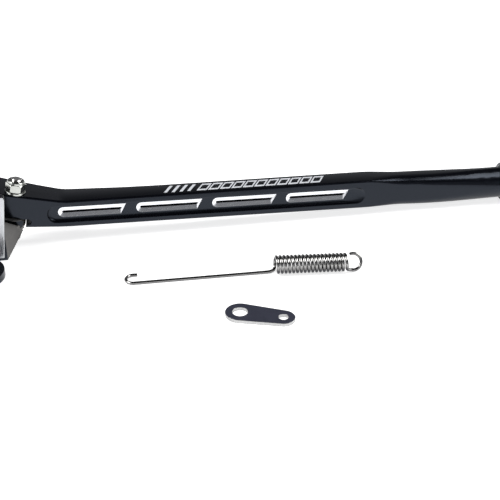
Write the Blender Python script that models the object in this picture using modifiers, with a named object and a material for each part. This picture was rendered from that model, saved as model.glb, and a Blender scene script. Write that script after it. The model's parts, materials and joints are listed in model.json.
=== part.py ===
"""Motorcycle kickstand kit, laid out on a bench.

The leg stands on its foot at +X and on its bracket at -X. The extension spring
and the link plate lie loose in front of it, at -Y. The bench top is z = 0.

Two frames are used. The bench frame is the world before the last step, which
moves everything so that the origin is the middle of the footprint. The head
frame has its origin on the pivot axis, at the leg's top face, with +Z along
the axis, which leans towards the foot, and +Y away from the loose pieces.
"""

import math

import bmesh
import bpy
from mathutils import Matrix, Vector

MM = 0.001
FIT = 0.3 * MM  # gap kept between touching pieces

# Pivot
PIVOT = Vector((-169.5 * MM, 42.0 * MM, 44.2 * MM))
PIVOT_LEAN = math.radians(13.0)
PIVOT_DIAMETER = 8.0 * MM
BUSH_DIAMETER = 11.6 * MM
EAR_THICKNESS = 18.4 * MM
TONGUE_TOP = -19.8 * MM
TONGUE_BOTTOM = -25.6 * MM
TONGUE_RADIUS = 10.3 * MM
TONGUE_BACK = 8.8 * MM
SHOULDER_X = 10.6 * MM
RELIEF_RADIUS = 2.4 * MM
NUT_ACROSS_FLATS = 13.0 * MM
NUT_HEIGHT = 8.0 * MM
WASHER_DIAMETER = 15.0 * MM
WASHER_THICKNESS = 1.6 * MM

# Leg, in the bench frame
FRONT_Y = 35.3 * MM
LEG_WIDTH = 19.0 * MM
HEAD_END_X = -186.0 * MM
BEND_X = -136.0 * MM
LEG_END_X = 220.7 * MM
FOOT_RADIUS = 16.0 * MM
LEG_END_RADIUS = 12.6 * MM
SHANK_CORNER = 6.5 * MM
CORNER = 1.6 * MM

# Lightening groove along each side, and the pockets in its floor
GROOVE_DEPTH = 3.6 * MM
GROOVE_HEIGHT = 14.0 * MM
GROOVE_FILLET = 2.4 * MM
GROOVE_SLOPE = math.radians(1.56)
GROOVE_LEFT_X = -148.0 * MM
GROOVE_RIGHT_X = 88.0 * MM
GROOVE_RUNOUT = 12.5 * MM
GROOVE_START_Z = 26.0 * MM
POCKET_HEIGHT = 8.3 * MM
POCKET_LENGTH = 51.0 * MM
POCKET_PITCH = 58.8 * MM
POCKET_RIGHT_X = -89.0 * MM
POCKET_SLANT = 4.3 * MM
POCKET_BEVEL = 3.0 * MM
POCKET_TOP_BEVEL_DEPTH = 0.7 * MM
POCKET_LOW_BEVEL_DEPTH = 1.5 * MM
POCKET_DEPTH = 3.4 * MM
POCKETS = 4
BACK_GROOVE_LEFT_X = -92.0 * MM

# Stop pin, which runs in an arc groove in the underside of the leg's ear
STOP_RADIUS = 14.0 * MM
STOP_PIN_DIAMETER = 5.0 * MM
STOP_PIN_SEAT = 3.7 * MM
STOP_PIN_REACH = 3.4 * MM
STOP_GROOVE_DEPTH = 4.2 * MM
FOLD_RANGE = math.radians(92.0)

# Foot
FOOT_LENGTH = 24.0 * MM
FOOT_SCREW_DIAMETER = 8.0 * MM

# Spring post on the back of the leg
POST_X = -104.0 * MM
POST_Z = 23.0 * MM

# Bracket
FLANGE_THICKNESS = 6.0 * MM
FRONT_HOLE = Vector((-199.3 * MM, -2.5 * MM))
BACK_HOLE = Vector((-226.0 * MM, 43.0 * MM))
FRONT_LUG_RADIUS = 19.0 * MM
BACK_LUG_RADIUS = 17.0 * MM
MOUNT_HOLE_DIAMETER = 8.6 * MM
SPOT_FACE_DIAMETER = 18.0 * MM
HORN_TOP = 53.0 * MM

# Loose spring
WIRE = 2.4 * MM
COIL_DIAMETER = 14.0 * MM
COIL_START = Vector((10.1 * MM, -35.5 * MM))
COIL_END = Vector((64.4 * MM, -41.8 * MM))
COIL_TURNS = 19 - 1 / 6
POINTS_PER_TURN = 14
ARM_END = Vector((-90.1 * MM, -32.2 * MM))
ARM_HOOK_RADIUS = 5.5 * MM
EYE_RADIUS = 6.0 * MM
EYE_TILT = math.radians(59.6)

# Loose link plate
LINK_BIG = Vector((-22.8 * MM, -83.5 * MM))
LINK_SMALL = Vector((4.6 * MM, -95.0 * MM))
LINK_THICKNESS = 2.5 * MM
LINK_BIG_RADIUS = 10.2 * MM
LINK_SMALL_RADIUS = 8.0 * MM
LINK_BIG_HOLE = 10.4 * MM
LINK_SMALL_HOLE = 6.6 * MM


# ---------------------------------------------------------------- scene

def clear_scene():
    for leftover in list(bpy.data.objects):
        bpy.data.objects.remove(leftover, do_unlink=True)


def collection(name):
    made = bpy.data.collections.new(name)
    bpy.context.scene.collection.children.link(made)
    return made


def material(name, colour, roughness, metallic):
    made = bpy.data.materials.new(name)
    made.use_nodes = True
    shader = made.node_tree.nodes["Principled BSDF"]
    shader.inputs["Base Color"].default_value = (*colour, 1.0)
    shader.inputs["Roughness"].default_value = roughness
    shader.inputs["Metallic"].default_value = metallic
    return made


def empty(name, matrix, parent):
    made = bpy.data.objects.new(name, None)
    made.empty_display_size = 20 * MM
    PARTS.objects.link(made)
    made.parent = parent
    made.matrix_world = matrix
    return made


def add(name, mesh, finish, parent, matrix=Matrix()):
    """A solid whose mesh is given in the frame that matrix places."""
    made = bpy.data.objects.new(name, mesh)
    mesh.materials.clear()
    mesh.materials.append(finish)
    mesh.shade_smooth()
    mesh.set_sharp_from_angle(angle=math.radians(35))
    PARTS.objects.link(made)
    made.parent = parent
    made.matrix_world = matrix
    return made


def combine(target, mesh, operation, matrix=Matrix()):
    """Adds a mesh to a solid, or cuts it away, as a live Boolean."""
    helper = bpy.data.objects.new(f"{target.name}_{operation.lower()}", mesh)
    HELPERS.objects.link(helper)
    helper.parent = target.parent
    helper.matrix_world = matrix
    helper.hide_render = True
    helper.display_type = "WIRE"
    boolean = target.modifiers.new(helper.name, "BOOLEAN")
    boolean.operation = operation
    boolean.solver = "EXACT"
    boolean.object = helper


# ---------------------------------------------------------------- shapes

def weld(mesh):
    shape = bmesh.new()
    shape.from_mesh(mesh)
    bmesh.ops.remove_doubles(shape, verts=shape.verts, dist=0.001 * MM)
    bmesh.ops.recalc_face_normals(shape, faces=shape.faces)
    shape.to_mesh(mesh)
    shape.free()
    return mesh


def loft(name, rings):
    """A closed skin over rings of equally many points, capped at both ends."""
    shape = bmesh.new()
    rows = [[shape.verts.new(point) for point in ring] for ring in rings]
    for low, high in zip(rows, rows[1:]):
        for i in range(len(low)):
            j = (i + 1) % len(low)
            shape.faces.new((low[i], low[j], high[j], high[i]))
    shape.faces.new(reversed(rows[0]))
    shape.faces.new(rows[-1])
    bmesh.ops.recalc_face_normals(shape, faces=shape.faces)
    mesh = bpy.data.meshes.new(name)
    shape.to_mesh(mesh)
    shape.free()
    return mesh


def from_curve(name, curve):
    """The mesh of a curve, with its caps welded on."""
    drawn = bpy.data.objects.new(name, curve)
    HELPERS.objects.link(drawn)
    graph = bpy.context.evaluated_depsgraph_get()
    mesh = bpy.data.meshes.new_from_object(drawn.evaluated_get(graph))
    bpy.data.objects.remove(drawn)
    return weld(mesh)


def extruded(name, outline, low, high):
    """A flat outline in the local XY plane, as a solid from low to high."""
    curve = bpy.data.curves.new(name, "CURVE")
    curve.dimensions = "2D"
    curve.fill_mode = "BOTH"
    curve.extrude = (high - low) / 2
    spline = curve.splines.new("POLY")
    spline.points.add(len(outline) - 1)
    for point, place in zip(spline.points, outline):
        point.co = (place[0], place[1], 0.0, 1.0)
    spline.use_cyclic_u = True
    mesh = from_curve(name, curve)
    mesh.transform(Matrix.Translation((0.0, 0.0, (low + high) / 2)))
    return mesh


def wire(name, points):
    """A round wire along points."""
    curve = bpy.data.curves.new(name, "CURVE")
    curve.dimensions = "3D"
    curve.bevel_depth = WIRE / 2
    curve.bevel_resolution = 2
    curve.use_fill_caps = True
    spline = curve.splines.new("POLY")
    spline.points.add(len(points) - 1)
    for point, place in zip(spline.points, points):
        point.co = (*place, 1.0)
    return from_curve(name, curve)


def turned(name, profile, steps=32):
    """A solid of revolution about Z. The profile is (radius, height), outer side first, top to bottom."""
    mesh = bpy.data.meshes.new(name)
    points = [(radius, 0.0, height) for radius, height in profile]
    edges = [(i, i + 1) for i in range(len(points) - 1)]
    if profile[0][0] > 0.0:
        edges.append((len(points) - 1, 0))
    mesh.from_pydata(points, edges, [])
    drawn = bpy.data.objects.new(name, mesh)
    HELPERS.objects.link(drawn)
    screw = drawn.modifiers.new("Screw", "SCREW")
    screw.axis = "Z"
    screw.steps = steps
    screw.render_steps = steps
    screw.use_merge_vertices = True
    screw.merge_threshold = 0.002 * MM
    graph = bpy.context.evaluated_depsgraph_get()
    solid = bpy.data.meshes.new_from_object(drawn.evaluated_get(graph))
    bpy.data.objects.remove(drawn)
    return weld(solid)


def cylinder(name, radius, low, high, steps=32):
    return turned(name, [(0.0, high), (radius, high), (radius, low), (0.0, low)], steps)


def chamfered_pin(name, radius, low, high, chamfer, steps=24):
    """A pin whose two ends are chamfered."""
    profile = [
        (0.0, high),
        (radius - chamfer, high),
        (radius, high - chamfer),
        (radius, low + chamfer),
        (radius - chamfer, low),
        (0.0, low),
    ]
    return turned(name, profile, steps)


def ring(name, outer, inner, low, high, chamfer, steps=32):
    """A washer or bush with its outer edges chamfered."""
    profile = [
        (inner, high),
        (outer - chamfer, high),
        (outer, high - chamfer),
        (outer, low + chamfer),
        (outer - chamfer, low),
        (inner, low),
    ]
    return turned(name, profile, steps)


def arc(centre, radius, start, end, steps):
    """Points round a centre from one angle to another, both in radians."""
    found = []
    for i in range(steps + 1):
        angle = start + (end - start) * i / steps
        found.append((centre[0] + radius * math.cos(angle), centre[1] + radius * math.sin(angle)))
    return found


def belt(first, first_radius, second, second_radius, steps=16):
    """The outline of a belt round two circles."""
    between = Vector(second) - Vector(first)
    heading = math.atan2(between.y, between.x)
    tangent = math.acos((first_radius - second_radius) / between.length)
    outline = arc(first, first_radius, heading + tangent, heading + 2 * math.pi - tangent, steps)
    outline += arc(second, second_radius, heading - tangent, heading + tangent, steps)
    return outline


def section(x, front, back, bottom, top, radius, steps=4):
    """A rounded rectangle in the plane at x, as the leg's cross-section."""
    corners = (
        (back - radius, top - radius, 0.0),
        (front + radius, top - radius, 0.5 * math.pi),
        (front + radius, bottom + radius, math.pi),
        (back - radius, bottom + radius, 1.5 * math.pi),
    )
    points = []
    for y, z, start in corners:
        for place in arc((y, z), radius, start, start + 0.5 * math.pi, steps):
            points.append((x, *place))
    return points


# ---------------------------------------------------------------- leg

def between(low, high, share):
    return low + (high - low) * share


def leg_top(x):
    """Height of the leg's top face: parallel to the pivot's face before the bend, nearly level after it."""
    bend_height = PIVOT.z - (BEND_X - PIVOT.x) * math.tan(PIVOT_LEAN)
    if x < BEND_X:
        return bend_height + (BEND_X - x) * math.tan(PIVOT_LEAN)
    return bend_height - (x - BEND_X) * math.tan(math.radians(1.1))


def leg_bottom(x):
    bend_height = 14.5 * MM
    if x < BEND_X:
        return bend_height + (BEND_X - x) * math.tan(math.radians(5.0))
    return bend_height - (x - BEND_X) * math.tan(math.radians(1.65))


def end_corner(share):
    """Corner radius from the beam's end, share 0, to the leg's end, share 1: it rounds quickly, then fills out."""
    first = min(1.0, share / 0.3)
    last = max(0.0, (share - 0.3) / 0.7)
    shank = between(CORNER, SHANK_CORNER, first * first * (3.0 - 2.0 * first))
    return between(shank, LEG_END_RADIUS - 0.1 * MM, last * last * (3.0 - 2.0 * last))


def leg_body():
    """The leg's outer shape: a flared head, a straight rectangular beam and a round end."""
    head = (
        (HEAD_END_X, 25.5),
        (HEAD_END_X + 1.2 * MM, 28.5),
        (HEAD_END_X + 4.0 * MM, 30.8),
        (PIVOT.x, 28.0),
        (-155.0 * MM, 25.4),
        (BEND_X - 3.0 * MM, 23.2),
        (BEND_X + 3.0 * MM, 22.8),
        (-112.0 * MM, 21.2),
        (-90.0 * MM, 19.8),
        (-62.0 * MM, 19.0),
    )
    rings = []
    for x, width in head:
        inset = 3.0 * MM if x == HEAD_END_X else 0.0
        front = FRONT_Y + 0.4 * inset
        rings.append(section(x, front, FRONT_Y + width * MM, leg_bottom(x), leg_top(x), CORNER))
    beam_end = 100.0 * MM
    rings.append(section(beam_end, FRONT_Y, FRONT_Y + LEG_WIDTH, leg_bottom(beam_end), leg_top(beam_end), CORNER))
    middle_y = FRONT_Y + LEG_WIDTH / 2
    stations = 6
    for i in range(1, stations + 1):
        share = i / stations
        ease = share * share * (3.0 - 2.0 * share)
        x = between(beam_end, LEG_END_X - 3.0 * MM, share)
        low = between(leg_bottom(x), FOOT_RADIUS - LEG_END_RADIUS, ease)
        high = between(leg_top(x), FOOT_RADIUS + LEG_END_RADIUS, ease)
        half = between(LEG_WIDTH / 2, LEG_END_RADIUS, ease)
        radius = end_corner(share)
        rings.append(section(x, middle_y - half, middle_y + half, low, high, radius))
    flare = LEG_END_RADIUS + 1.4 * MM
    rings.append(
        section(
            LEG_END_X,
            middle_y - flare,
            middle_y + flare,
            FOOT_RADIUS - flare,
            FOOT_RADIUS + flare,
            flare - 0.1 * MM,
        )
    )
    return loft("leg", rings)


def groove_height(x):
    """Height of the middle of the groove."""
    return GROOVE_START_Z - (x - GROOVE_LEFT_X) * math.tan(GROOVE_SLOPE)


def groove_cutter(face_y, inwards, left_x):
    """The long groove in a side face. inwards is +1 on the front and -1 on the back."""
    rings = []
    depths = [-2.0 * MM, 0.0, 0.5 * (GROOVE_DEPTH - GROOVE_FILLET), GROOVE_DEPTH - GROOVE_FILLET]
    depths += [GROOVE_DEPTH - GROOVE_FILLET * (1.0 - math.sin(a)) for a in (0.5, 1.0)]
    depths.append(GROOVE_DEPTH)
    for depth in depths:
        into_fillet = max(0.0, depth - (GROOVE_DEPTH - GROOVE_FILLET))
        inset = GROOVE_FILLET - math.sqrt(max(0.0, GROOVE_FILLET**2 - into_fillet**2))
        half = GROOVE_HEIGHT / 2 - inset
        fall = max(0.0, depth) / GROOVE_DEPTH
        right_x = GROOVE_RIGHT_X + GROOVE_RUNOUT * math.sqrt(max(0.0, 1.0 - fall)) - 0.2 * inset
        outline = arc((right_x - GROOVE_HEIGHT / 2, 0.0), half, 0.5 * math.pi, -0.5 * math.pi, 8)
        left = arc((left_x + GROOVE_HEIGHT / 2, 0.0), half, 1.5 * math.pi, 0.5 * math.pi, 8)
        points = []
        for x, z in outline + left:
            points.append((x, face_y + inwards * depth, groove_height(x) + z))
        rings.append(points)
    return loft("groove", rings)


def pocket_cutter(face_y, inwards, right_x):
    """A pocket with a bevel all round its mouth and a slanted right end."""
    floor_y = face_y + inwards * GROOVE_DEPTH
    half = POCKET_HEIGHT / 2
    left_centre = right_x - POCKET_LENGTH + half
    steps = (
        (-1.0 * MM, -1.0 * MM, 0.0),
        (0.0, 0.0, 0.0),
        (POCKET_LOW_BEVEL_DEPTH, POCKET_TOP_BEVEL_DEPTH, POCKET_BEVEL),
        (POCKET_DEPTH, POCKET_DEPTH, POCKET_BEVEL),
    )
    rings = []
    for low_depth, top_depth, inset in steps:
        reach = half - inset
        points = []
        for z in (reach, -reach):
            slant = POCKET_SLANT * (half - z) / POCKET_HEIGHT
            points.append((right_x - slant - inset * 0.5, z))
        points += arc((left_centre, 0.0), reach, 1.5 * math.pi, 0.5 * math.pi, 8)
        ring_points = []
        for x, z in points:
            depth = between(low_depth, top_depth, 0.5 + 0.5 * z / reach)
            ring_points.append((x, floor_y + inwards * depth, groove_height(x) + z))
        rings.append(ring_points)
    return loft("pocket", rings)


def stop_groove():
    """The arc groove in the ear's underside that the stop pin runs in, in the head frame."""
    half = STOP_PIN_DIAMETER / 2 + 0.4 * MM
    swing = math.pi - FOLD_RANGE
    outline = arc((0.0, 0.0), STOP_RADIUS + half, swing, math.pi, 14)
    outline += arc((-STOP_RADIUS, 0.0), half, math.pi, 2 * math.pi, 8)[1:-1]
    outline += arc((0.0, 0.0), STOP_RADIUS - half, math.pi, swing, 14)
    far = (STOP_RADIUS * math.cos(swing), STOP_RADIUS * math.sin(swing))
    outline += arc(far, half, swing + math.pi, swing + 2 * math.pi, 8)[1:-1]
    return extruded("stop_groove", outline, -EAR_THICKNESS - 1.0 * MM, -EAR_THICKNESS + STOP_GROOVE_DEPTH)


def make_leg(finish, hinge):
    mesh = leg_body()
    mesh.transform(HEAD.inverted())
    leg = add("leg", mesh, finish, hinge, HEAD)
    back_y = FRONT_Y + LEG_WIDTH
    under_ear = [
        (-30.0 * MM, -20.0 * MM),
        (SHOULDER_X, -20.0 * MM),
        (SHOULDER_X, 40.0 * MM),
        (-30.0 * MM, 40.0 * MM),
    ]
    combine(leg, extruded("under_ear", under_ear, -45.0 * MM, -EAR_THICKNESS), "DIFFERENCE", HEAD)
    across = Matrix.Translation((SHOULDER_X + 1.2 * MM, 0.0, -EAR_THICKNESS - 2.0 * MM))
    across = across @ Matrix.Rotation(math.radians(90), 4, "X")
    relief = cylinder("relief", RELIEF_RADIUS, -30.0 * MM, 12.0 * MM, 24)
    combine(leg, relief, "DIFFERENCE", HEAD @ across)
    bore = cylinder("bore", BUSH_DIAMETER / 2 + FIT, -EAR_THICKNESS - 1.0 * MM, 5.0 * MM)
    combine(leg, bore, "DIFFERENCE", HEAD)
    combine(leg, stop_groove(), "DIFFERENCE", HEAD)
    combine(leg, groove_cutter(FRONT_Y, 1.0, GROOVE_LEFT_X), "DIFFERENCE")
    combine(leg, groove_cutter(back_y, -1.0, BACK_GROOVE_LEFT_X), "DIFFERENCE")
    for i in range(POCKETS):
        right_x = POCKET_RIGHT_X + i * POCKET_PITCH
        combine(leg, pocket_cutter(FRONT_Y, 1.0, right_x), "DIFFERENCE")
        if right_x - POCKET_LENGTH > BACK_GROOVE_LEFT_X:
            combine(leg, pocket_cutter(back_y, -1.0, right_x), "DIFFERENCE")
    screw_hole = cylinder("screw_hole", FOOT_SCREW_DIAMETER / 2 + FIT, -19.0 * MM, 5.0 * MM, 24)
    combine(leg, screw_hole, "DIFFERENCE", foot_frame(LEG_END_X))
    post_hole = cylinder("post_hole", 3.0 * MM + FIT, -9.0 * MM, 5.0 * MM, 20)
    combine(leg, post_hole, "DIFFERENCE", post_frame())
    return leg


# ---------------------------------------------------------------- pieces on the leg

def foot_frame(x):
    """+Z points out of the leg's end, along the foot's axis."""
    place = Matrix.Translation((x, FRONT_Y + LEG_WIDTH / 2, FOOT_RADIUS))
    return place @ Matrix.Rotation(math.radians(90), 4, "Y")


def post_frame():
    """+Z points out of the leg's back face, along the spring post."""
    place = Matrix.Translation((POST_X, FRONT_Y + 20.6 * MM, POST_Z))
    return place @ Matrix.Rotation(math.radians(-90), 4, "X")


def make_foot(finish, screw_finish, hinge):
    bore = FOOT_SCREW_DIAMETER / 2 + FIT
    head_radius = 6.5 * MM
    well = 9.0 * MM
    edge = 5.0 * MM
    profile = [(head_radius + FIT, FOOT_LENGTH)]
    profile += arc((FOOT_RADIUS - edge, FOOT_LENGTH - edge), edge, 0.5 * math.pi, 0.0, 5)
    profile += [
        (FOOT_RADIUS, 1.0 * MM),
        (FOOT_RADIUS - 1.0 * MM, 0.0),
        (bore, 0.0),
        (bore, FOOT_LENGTH - well),
        (head_radius + FIT, FOOT_LENGTH - well),
    ]
    add("foot", turned("foot", profile, 48), finish, hinge, foot_frame(LEG_END_X + FIT))

    head_low = FOOT_LENGTH - well + FIT
    shank = FOOT_SCREW_DIAMETER / 2
    profile = [
        (0.0, head_low + 7.6 * MM),
        (head_radius - 0.6 * MM, head_low + 7.6 * MM),
        (head_radius, head_low + 7.0 * MM),
        (head_radius, head_low),
        (shank, head_low),
        (shank, -15.0 * MM),
        (shank - 1.0 * MM, -16.0 * MM),
        (0.0, -16.0 * MM),
    ]
    screw = add("foot_screw", turned("foot_screw", profile, 32), screw_finish, hinge, foot_frame(LEG_END_X + FIT))
    socket = hexagon(6.0 * MM)
    cutter = extruded("socket", socket, head_low + 4.0 * MM, head_low + 9.0 * MM)
    combine(screw, cutter, "DIFFERENCE", foot_frame(LEG_END_X + FIT))


def make_spring_post(finish, hinge):
    profile = [
        (0.0, 12.5 * MM),
        (4.6 * MM, 12.5 * MM),
        (5.2 * MM, 11.9 * MM),
        (5.2 * MM, 10.3 * MM),
        (3.4 * MM, 9.2 * MM),
        (3.4 * MM, 5.0 * MM),
        (5.0 * MM, 3.6 * MM),
        (5.0 * MM, 0.6 * MM),
        (3.0 * MM, 0.6 * MM),
        (3.0 * MM, -8.0 * MM),
        (0.0, -8.0 * MM),
    ]
    add("spring_post", turned("spring_post", profile, 28), finish, hinge, post_frame())


# ---------------------------------------------------------------- pivot

def hexagon(across_flats):
    corner = across_flats / math.sqrt(3.0)
    return arc((0.0, 0.0), corner, 0.0, 5 * math.pi / 3, 5)


def make_pivot(steel, nylon, bronze, plastic, parent):
    shank = PIVOT_DIAMETER / 2
    stud_low = -36.0 * MM
    nut_low = 2 * FIT + WASHER_THICKNESS
    nut_top = nut_low + NUT_HEIGHT
    stud = chamfered_pin("pivot_stud", shank, stud_low, nut_top + 1.2 * MM, 0.8 * MM)
    add("pivot_stud", stud, steel, parent, HEAD)

    bush = ring("pivot_bush", BUSH_DIAMETER / 2, shank + FIT, TONGUE_TOP + FIT, 0.0, 0.3 * MM)
    add("pivot_bush", bush, bronze, parent, HEAD)

    thrust = ring(
        "thrust_washer",
        TONGUE_RADIUS - FIT,
        BUSH_DIAMETER / 2 + FIT,
        TONGUE_TOP + FIT,
        -EAR_THICKNESS - FIT,
        0.1 * MM,
    )
    add("thrust_washer", thrust, plastic, parent, HEAD)

    washer = ring(
        "nut_washer",
        WASHER_DIAMETER / 2,
        shank + FIT,
        FIT,
        FIT + WASHER_THICKNESS,
        0.3 * MM,
    )
    add("nut_washer", washer, steel, parent, HEAD)

    hex_height = 6.0 * MM
    nut = add(
        "pivot_nut",
        extruded("pivot_nut", hexagon(NUT_ACROSS_FLATS), nut_low - MM, nut_low + hex_height + MM),
        steel,
        parent,
        HEAD,
    )
    corner = NUT_ACROSS_FLATS / math.sqrt(3.0)
    chamfer = 1.0 * MM
    envelope = [
        (0.0, nut_low + hex_height),
        (corner - 1.0 * MM, nut_low + hex_height),
        (corner + 0.2 * MM, nut_low + hex_height - chamfer),
        (corner + 0.2 * MM, nut_low + 0.6 * chamfer),
        (corner - 0.9 * MM, nut_low),
        (0.0, nut_low),
    ]
    combine(nut, turned("nut_chamfer", envelope, 48), "INTERSECT", HEAD)
    crown_low = nut_low + hex_height - 0.5 * MM
    crown = [
        (0.0, nut_top),
        (5.5 * MM, nut_top),
        (6.3 * MM, nut_top - 0.9 * MM),
        (6.3 * MM, crown_low),
        (0.0, crown_low),
    ]
    combine(nut, turned("nut_crown", crown, 48), "UNION", HEAD)
    combine(nut, cylinder("nut_bore", shank + FIT, nut_low - MM, nut_top + MM), "DIFFERENCE", HEAD)
    seat_low = nut_top - 1.9 * MM
    seat = cylinder("nut_ring_seat", 4.9 * MM, seat_low, nut_top + MM)
    combine(nut, seat, "DIFFERENCE", HEAD)
    insert = ring(
        "nut_insert",
        4.9 * MM - FIT,
        shank + 0.15 * MM,
        seat_low + FIT,
        nut_top - 0.3 * MM,
        0.1 * MM,
    )
    add("nut_insert", insert, nylon, parent, HEAD)

    pin = chamfered_pin(
        "stop_pin",
        STOP_PIN_DIAMETER / 2,
        TONGUE_TOP - STOP_PIN_SEAT,
        -EAR_THICKNESS + STOP_PIN_REACH,
        0.4 * MM,
    )
    add("stop_pin", pin, steel, parent, HEAD @ Matrix.Translation((-STOP_RADIUS, 0.0, 0.0)))


# ---------------------------------------------------------------- bracket

def horn_outline():
    """The upright horn as seen from the front, as (x, z)."""
    lean = math.tan(math.radians(7.3))
    right_low = -181.9 * MM
    radius = 3.0 * MM
    right_top = right_low + (HORN_TOP - radius) * lean
    outline = [(-190.0 * MM, 3.0 * MM), (right_low + 3.0 * MM * lean, 3.0 * MM)]
    outline += arc((right_top - radius, HORN_TOP - radius), radius, 0.0, 0.5 * math.pi, 5)
    outline.append((-188.0 * MM, HORN_TOP))
    return outline


def make_bracket(finish, parent):
    flange = belt(FRONT_HOLE, FRONT_LUG_RADIUS, BACK_HOLE, BACK_LUG_RADIUS, 20)
    bracket = add("bracket", extruded("bracket", flange, 0.0, FLANGE_THICKNESS), finish, parent)

    right = (
        Vector((-179.3, 18.9, 0.0)) * MM,
        Vector((-178.6, 18.9, 32.0)) * MM,
        Vector((-166.9, 41.5, 15.0)) * MM,
        Vector((-167.1, 42.0, 13.7)) * MM,
    )
    left = (
        Vector((-199.0, 18.9, 0.0)) * MM,
        Vector((-195.0, 18.9, 33.0)) * MM,
        Vector((-187.0, 50.5, 22.6)) * MM,
        Vector((-188.0, 50.5, 0.0)) * MM,
    )
    combine(bracket, loft("web", [right, left]), "UNION")

    boss = [
        (0.0, TONGUE_BOTTOM + 1.7 * MM),
        (9.0 * MM, TONGUE_BOTTOM + 1.7 * MM),
        (9.0 * MM, -29.4 * MM),
        (7.5 * MM, -37.8 * MM),
        (0.0, -37.8 * MM),
    ]
    combine(bracket, turned("boss", boss, 32), "UNION", HEAD)

    inner = (
        Vector((-189.0, 19.0, 0.5)) * MM,
        Vector((-189.0, 19.0, 28.0)) * MM,
        Vector((-189.0, 50.0, 28.0)) * MM,
        Vector((-189.0, 50.0, 0.5)) * MM,
    )
    outer = (
        Vector((-206.0, 19.0, 0.5)) * MM,
        Vector((-203.0, 19.0, 31.0)) * MM,
        Vector((-203.0, 50.0, 31.0)) * MM,
        Vector((-212.0, 50.0, 0.5)) * MM,
    )
    combine(bracket, loft("column", [inner, outer]), "UNION")

    front_v = FRONT_Y + FIT - PIVOT.y
    tongue = [(-25.0 * MM, front_v)]
    tongue += arc(
        (0.0, 0.0),
        TONGUE_RADIUS,
        math.asin(front_v / TONGUE_RADIUS),
        math.asin(TONGUE_BACK / TONGUE_RADIUS),
        12,
    )
    tongue.append((-25.0 * MM, TONGUE_BACK))
    combine(bracket, extruded("tongue", tongue, TONGUE_BOTTOM, TONGUE_TOP), "UNION", HEAD)

    on_edge = Matrix.Rotation(math.radians(90), 4, "X")
    horn = extruded("horn", horn_outline(), -22.9 * MM, -16.9 * MM)
    combine(bracket, horn, "UNION", on_edge)

    stud_hole = cylinder("stud_hole", PIVOT_DIAMETER / 2 + FIT, -36.0 * MM - FIT, 0.0)
    combine(bracket, stud_hole, "DIFFERENCE", HEAD)
    pin_hole = cylinder("pin_hole", STOP_PIN_DIAMETER / 2 + FIT, TONGUE_TOP - STOP_PIN_SEAT - FIT, 0.0, 24)
    combine(bracket, pin_hole, "DIFFERENCE", HEAD @ Matrix.Translation((-STOP_RADIUS, 0.0, 0.0)))
    for place in (FRONT_HOLE, BACK_HOLE):
        matrix = Matrix.Translation((place.x, place.y, 0.0))
        hole = cylinder("mount_hole", MOUNT_HOLE_DIAMETER / 2, -MM, FLANGE_THICKNESS + MM, 24)
        combine(bracket, hole, "DIFFERENCE", matrix)
        spot = cylinder("spot_face", SPOT_FACE_DIAMETER / 2, FLANGE_THICKNESS - 0.8 * MM, FLANGE_THICKNESS + 4 * MM)
        combine(bracket, spot, "DIFFERENCE", matrix)


# ---------------------------------------------------------------- loose pieces

def spring_frame():
    """Origin at the coil's left end, with +X along the coil's axis."""
    along = COIL_END - COIL_START
    place = Matrix.Translation((COIL_START.x, COIL_START.y, COIL_DIAMETER / 2))
    return place @ Matrix.Rotation(math.atan2(along.y, along.x), 4, "Z")


def coil_points():
    """The close-wound coil. It ends low at the back, where the hook leaves it."""
    length = (COIL_END - COIL_START).length
    mean = (COIL_DIAMETER - WIRE) / 2
    count = round(COIL_TURNS * POINTS_PER_TURN)
    points = []
    for i in range(count + 1):
        angle = 2 * math.pi * COIL_TURNS * i / count - 0.5 * math.pi
        x = WIRE / 2 + (length - WIRE) * i / count
        points.append(Vector((x, mean * math.cos(angle), mean * math.sin(angle))))
    return points


def eye_points(last):
    """The open hook past the coil's right end, a C in a plane that leans back from the bench."""
    rise = Vector((0.0, math.cos(EYE_TILT), math.sin(EYE_TILT)))
    centre = Vector((last.x + 4.9 * MM, 0.0, 0.0))
    points = []
    steps = 18
    for i in range(steps + 1):
        angle = math.radians(-104 + 218 * i / steps)
        points.append(centre + EYE_RADIUS * (Vector((math.cos(angle), 0.0, 0.0)) + rise * math.sin(angle)))
    return points


def make_spring(finish, lift, stretch):
    points = coil_points()
    frame = spring_frame()
    add("spring_coil", wire("spring_coil", points), finish, lift, frame)

    eye = eye_points(points[-1])
    tail = eye[0] - 0.62 * (eye[0] - points[-1]) + Vector((0.55 * MM, 0.0, -0.3 * MM))
    add("spring_eye", wire("spring_eye", [tail] + eye), finish, lift, frame)

    mean = (COIL_DIAMETER - WIRE) / 2
    inverse = frame.inverted()
    end = inverse @ Vector((ARM_END.x, ARM_END.y, WIRE / 2))
    start = Vector((-WIRE / 2 - FIT, 0.0, -mean))
    run = (start - end).normalized()
    side = Vector((0.0, 0.0, 1.0)).cross(run).normalized()
    arm = [start, start - 3.0 * MM * run, end]
    centre = end + ARM_HOOK_RADIUS * side
    steps = 12
    for i in range(1, steps + 1):
        angle = math.radians(190 * i / steps)
        arm.append(centre - ARM_HOOK_RADIUS * (math.sin(angle) * run + math.cos(angle) * side))
    tip = arm[-1] - arm[-2]
    arm.append(arm[-1] + 2.0 * MM * tip.normalized())
    add("spring_arm", wire("spring_arm", arm), finish, stretch, frame)


def make_link(finish, lift):
    outline = belt(LINK_BIG, LINK_BIG_RADIUS, LINK_SMALL, LINK_SMALL_RADIUS, 20)
    link = add("link_plate", extruded("link_plate", outline, 0.0, LINK_THICKNESS), finish, lift)
    for place, diameter in ((LINK_BIG, LINK_BIG_HOLE), (LINK_SMALL, LINK_SMALL_HOLE)):
        hole = cylinder("link_hole", diameter / 2, -MM, LINK_THICKNESS + MM, 32)
        combine(link, hole, "DIFFERENCE", Matrix.Translation((place.x, place.y, 0.0)))


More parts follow.
